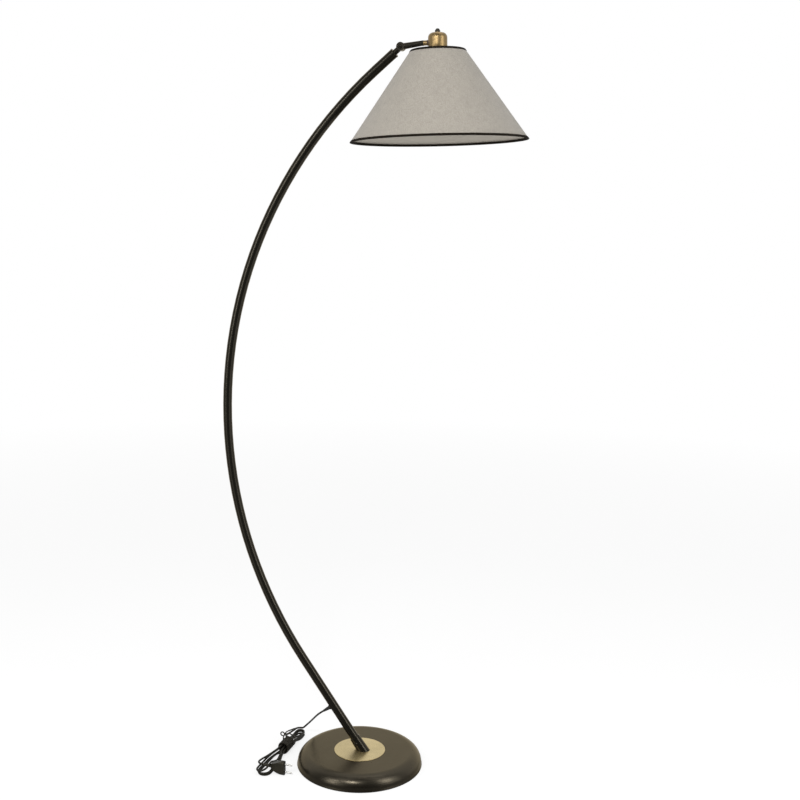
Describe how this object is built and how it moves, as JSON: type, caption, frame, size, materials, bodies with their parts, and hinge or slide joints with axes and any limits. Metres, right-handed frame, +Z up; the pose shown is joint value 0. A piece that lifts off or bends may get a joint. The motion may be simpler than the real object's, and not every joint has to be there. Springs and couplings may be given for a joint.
{
  "type": "floor lamp",
  "caption": "Bridge floor lamp with a bowed stem on a round weighted base, a friction knuckle, a push switch in a brass cup, and a wide conical fabric shade.",
  "frame": {"origin": "floor level at the centre of the round base", "axes": "+Z up; the stem bows in the XZ plane, away to -X and back to the shade at +X; +Y to the left of a viewer who looks along +X"},
  "size_m": [0.7117, 0.3888, 1.7011],
  "materials": {
    "black_paint": "satin black enamel",
    "ballast_iron": "sand-cast iron, as cast",
    "base_pad": "black pressed felt",
    "satin_brass": "satin brushed, lacquered",
    "zinc_steel": "zinc plated",
    "wire_sheath": "black sheath",
    "black_rubber": "moulded, matte",
    "cord_black": "soft black sheath",
    "tie_black": "plastic-covered wire",
    "plug_black": "moulded, fine texture",
    "pin_nickel": "nickel plated",
    "friction_fibre": "pressed fibre",
    "brown_fibre": "dark stained",
    "black_plastic": "moulded, low gloss",
    "holder_ceramic": "glazed ceramic",
    "contact_brass": "pressed brass sheet",
    "frame_enamel": "cream enamel",
    "shade_linen": "heathered plain weave",
    "shade_lining": "translucent styrene lining",
    "shade_trim": "dark folded trim",
    "bulb_aluminium": "rolled thread",
    "bulb_glass": "frosted inside"
  },
  "bodies": {
    "root": {"base_cover": "black_paint", "base_ballast": "ballast_iron", "base_pad": "base_pad", "base_disc": "satin_brass", "stem_socket": "black_paint", "socket_screw": "black_paint", "base_stud": "zinc_steel", "stud_washer": "zinc_steel", "stud_nut": "zinc_steel", "stem_tube": "black_paint", "stem_end_plug": "black_paint", "stem_wire": "wire_sheath", "cord_relief": "black_rubber", "cord_lead": "cord_black", "cord_hank": "cord_black", "cord_tail": "cord_black", "cord_tie": "tie_black", "plug_body": "plug_black", "plug_pins": "pin_nickel", "knuckle_neck": "black_paint", "knuckle_screw": "black_paint", "knuckle_washer": "friction_fibre", "knuckle_nut": "zinc_steel"},
    "head": {"arm": "black_paint", "arm_wire": "wire_sheath", "nipple": "satin_brass", "nipple_washer": "brown_fibre", "nipple_nut": "zinc_steel", "cup": "satin_brass", "switch_body": "black_plastic", "switch_washer": "satin_brass", "switch_bezel": "black_plastic", "lampholder_body": "black_plastic", "lampholder_insert": "holder_ceramic", "lampholder_sleeve": "contact_brass", "centre_contact": "contact_brass", "shade_ring_nut": "black_plastic", "shade_frame": "frame_enamel", "shade_bottom_wire": "frame_enamel", "shade_fabric": "shade_linen", "shade_liner": "shade_lining", "shade_trim_top": "shade_trim", "shade_trim_bottom": "shade_trim", "bulb_cap": "bulb_aluminium", "bulb_glass": "bulb_glass"},
    "button": {"push_button": "black_plastic"}
  },
  "joints": [
    {"name": "head_tilt", "type": "hinge", "parent": "root", "child": "head", "pos_m": [0.07145, 0, 1.6649], "axis": [0, -1, 0], "range_deg": [-12, 75]},
    {"name": "switch_press", "type": "slide", "parent": "head", "child": "button", "axis": [0.0419, 0, -0.9991], "range_m": [0, 0.0022], "stiffness_N_per_m": 400}
  ]
}
